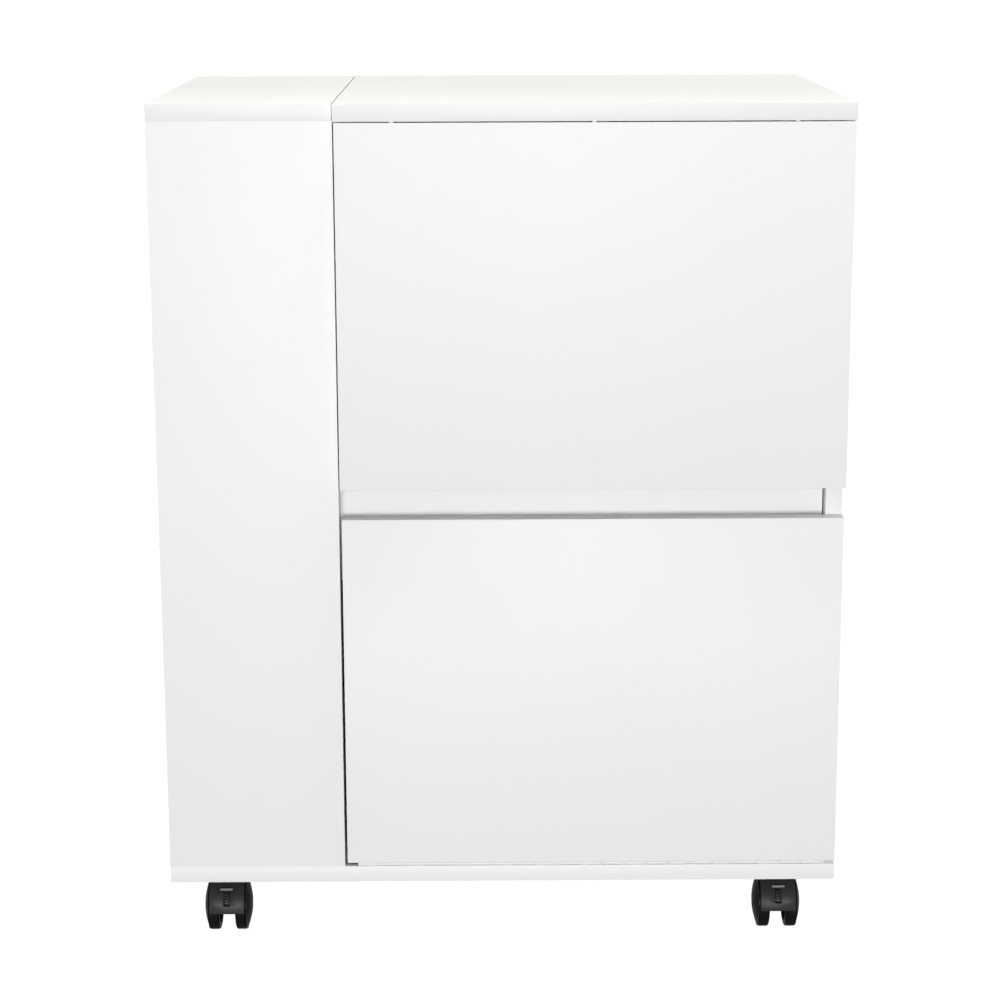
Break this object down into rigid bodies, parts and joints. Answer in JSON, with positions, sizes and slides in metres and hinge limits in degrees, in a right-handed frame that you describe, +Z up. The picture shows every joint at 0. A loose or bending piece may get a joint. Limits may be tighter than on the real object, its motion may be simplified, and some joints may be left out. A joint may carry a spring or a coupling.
{
  "type": "sewing table",
  "caption": "White cabinet-style sewing table on twin-wheel castors, with a lift-up lid, a hinged front leaf, a drop-down lower door and an open-sided shelf column.",
  "frame": {"origin": "centre of the footprint box on the floor", "axes": "+Z up, -Y is the front with the leaf and the door, +X is the right end as seen from the front"},
  "size_m": [0.62, 0.4406, 0.78],
  "materials": {
    "white_melamine": "satin white melamine on chipboard",
    "back_sheet": "white lacquered fibreboard",
    "castor_hood": "dark grey moulded nylon",
    "castor_wheel": "black moulded nylon",
    "zinc_steel": "zinc plated",
    "screw_steel": "zinc plated",
    "hinge_steel": "nickel plated",
    "white_steel": "white powder coat",
    "cast_zinc": "die cast zinc",
    "catch_plastic": "white moulded",
    "felt_pad": "clear soft pad"
  },
  "bodies": {
    "cabinet": {"back_panel": "back_sheet", "back_top_rail": "white_melamine", "base_screws": "screw_steel", "bottom_board": "white_melamine", "cam_bolts": "screw_steel", "cam_locks": "cast_zinc", "castor_front_left_plate": "zinc_steel", "castor_front_right_plate": "zinc_steel", "castor_rear_left_plate": "zinc_steel", "castor_rear_right_plate": "zinc_steel", "castor_screws": "screw_steel", "column_back_board": "white_melamine", "column_front_panel": "white_melamine", "column_shelf_1": "white_melamine", "column_shelf_2": "white_melamine", "column_top_board": "white_melamine", "door_hinge_base_strip": "white_steel", "door_hinge_pin": "white_steel", "frame_hinge_screws": "screw_steel", "front_rail": "white_melamine", "lid_bumpers": "felt_pad", "lid_hinge_left_frame_plate": "hinge_steel", "lid_hinge_pins": "hinge_steel", "lid_hinge_right_frame_plate": "hinge_steel", "lower_shelf": "white_melamine", "machine_shelf": "white_melamine", "magnetic_catch": "catch_plastic", "partition": "white_melamine", "right_side_panel": "white_melamine", "shelf_pins": "screw_steel"},
    "lid": {"lid": "white_melamine", "lid_hinge_screws": "screw_steel", "lid_hinge_left_lid_plate": "hinge_steel", "lid_hinge_right_lid_plate": "hinge_steel", "leaf_hinge_lid_barrels": "cast_zinc"},
    "leaf": {"front_leaf": "white_melamine", "leaf_hinge_leaf_barrels": "cast_zinc"},
    "leaf_links": {"leaf_hinge_links": "cast_zinc"},
    "door": {"lower_door": "white_melamine", "door_hinge_door_strip": "white_steel", "door_hinge_screws": "screw_steel", "strike_plate": "hinge_steel"},
    "castor_front_left": {"castor_front_left_hood": "castor_hood", "castor_front_left_axle": "zinc_steel"},
    "castor_front_left_wheel_a": {"castor_front_left_wheel_a": "castor_wheel"},
    "castor_front_left_wheel_b": {"castor_front_left_wheel_b": "castor_wheel"},
    "castor_front_left_lever": {"castor_front_left_brake_lever": "castor_hood"},
    "castor_front_right": {"castor_front_right_hood": "castor_hood", "castor_front_right_axle": "zinc_steel"},
    "castor_front_right_wheel_a": {"castor_front_right_wheel_a": "castor_wheel"},
    "castor_front_right_wheel_b": {"castor_front_right_wheel_b": "castor_wheel"},
    "castor_front_right_lever": {"castor_front_right_brake_lever": "castor_hood"},
    "castor_rear_left": {"castor_rear_left_hood": "castor_hood", "castor_rear_left_axle": "zinc_steel"},
    "castor_rear_left_wheel_a": {"castor_rear_left_wheel_a": "castor_wheel"},
    "castor_rear_left_wheel_b": {"castor_rear_left_wheel_b": "castor_wheel"},
    "castor_rear_right": {"castor_rear_right_hood": "castor_hood", "castor_rear_right_axle": "zinc_steel"},
    "castor_rear_right_wheel_a": {"castor_rear_right_wheel_a": "castor_wheel"},
    "castor_rear_right_wheel_b": {"castor_rear_right_wheel_b": "castor_wheel"}
  },
  "joints": [
    {"name": "lid_hinge", "type": "hinge", "parent": "cabinet", "child": "lid", "pos_m": [0, 0.2177, 0.7645], "axis": [-1, 0, 0], "range_deg": [0, 95]},
    {"name": "leaf_hinge", "type": "hinge", "parent": "lid", "child": "leaf", "pos_m": [0, -0.2203, 0.7645], "axis": [-1, 0, 0], "range_deg": [0, 90]},
    {"name": "leaf_link_rock", "type": "hinge", "parent": "lid", "child": "leaf_links", "pos_m": [0, -0.2203, 0.7645], "axis": [-1, 0, 0], "range_deg": [0, 45]},
    {"name": "door_hinge", "type": "hinge", "parent": "cabinet", "child": "door", "pos_m": [0, -0.2038, 0.0767], "axis": [1, 0, 0], "range_deg": [0, 90]},
    {"name": "castor_front_left_swivel", "type": "hinge", "parent": "cabinet", "child": "castor_front_left", "pos_m": [-0.26, -0.1503, 0.05], "axis": [0, 0, 1], "continuous": true},
    {"name": "castor_front_left_wheel_a_spin", "type": "hinge", "parent": "castor_front_left", "child": "castor_front_left_wheel_a", "pos_m": [-0.26, -0.1683, 0.025], "axis": [1, 0, 0], "continuous": true},
    {"name": "castor_front_left_wheel_b_spin", "type": "hinge", "parent": "castor_front_left", "child": "castor_front_left_wheel_b", "pos_m": [-0.26, -0.1683, 0.025], "axis": [1, 0, 0], "continuous": true},
    {"name": "castor_front_left_brake", "type": "hinge", "parent": "castor_front_left", "child": "castor_front_left_lever", "pos_m": [-0.26, -0.1683, 0.025], "axis": [1, 0, 0], "range_deg": [0, 8]},
    {"name": "castor_front_right_swivel", "type": "hinge", "parent": "cabinet", "child": "castor_front_right", "pos_m": [0.26, -0.1503, 0.05], "axis": [0, 0, 1], "continuous": true},
    {"name": "castor_front_right_wheel_a_spin", "type": "hinge", "parent": "castor_front_right", "child": "castor_front_right_wheel_a", "pos_m": [0.26, -0.1683, 0.025], "axis": [1, 0, 0], "continuous": true},
    {"name": "castor_front_right_wheel_b_spin", "type": "hinge", "parent": "castor_front_right", "child": "castor_front_right_wheel_b", "pos_m": [0.26, -0.1683, 0.025], "axis": [1, 0, 0], "continuous": true},
    {"name": "castor_front_right_brake", "type": "hinge", "parent": "castor_front_right", "child": "castor_front_right_lever", "pos_m": [0.26, -0.1683, 0.025], "axis": [1, 0, 0], "range_deg": [0, 8]},
    {"name": "castor_rear_left_swivel", "type": "hinge", "parent": "cabinet", "child": "castor_rear_left", "pos_m": [-0.26, 0.1597, 0.05], "axis": [0, 0, 1], "continuous": true},
    {"name": "castor_rear_left_wheel_a_spin", "type": "hinge", "parent": "castor_rear_left", "child": "castor_rear_left_wheel_a", "pos_m": [-0.26, 0.1777, 0.025], "axis": [1, 0, 0], "continuous": true},
    {"name": "castor_rear_left_wheel_b_spin", "type": "hinge", "parent": "castor_rear_left", "child": "castor_rear_left_wheel_b", "pos_m": [-0.26, 0.1777, 0.025], "axis": [1, 0, 0], "continuous": true},
    {"name": "castor_rear_right_swivel", "type": "hinge", "parent": "cabinet", "child": "castor_rear_right", "pos_m": [0.26, 0.1597, 0.05], "axis": [0, 0, 1], "continuous": true},
    {"name": "castor_rear_right_wheel_a_spin", "type": "hinge", "parent": "castor_rear_right", "child": "castor_rear_right_wheel_a", "pos_m": [0.26, 0.1777, 0.025], "axis": [1, 0, 0], "continuous": true},
    {"name": "castor_rear_right_wheel_b_spin", "type": "hinge", "parent": "castor_rear_right", "child": "castor_rear_right_wheel_b", "pos_m": [0.26, 0.1777, 0.025], "axis": [1, 0, 0], "continuous": true}
  ],
  "couplings": [
    {"joint": "leaf_link_rock", "follows": "leaf_hinge", "ratio": 0.5}
  ]
}
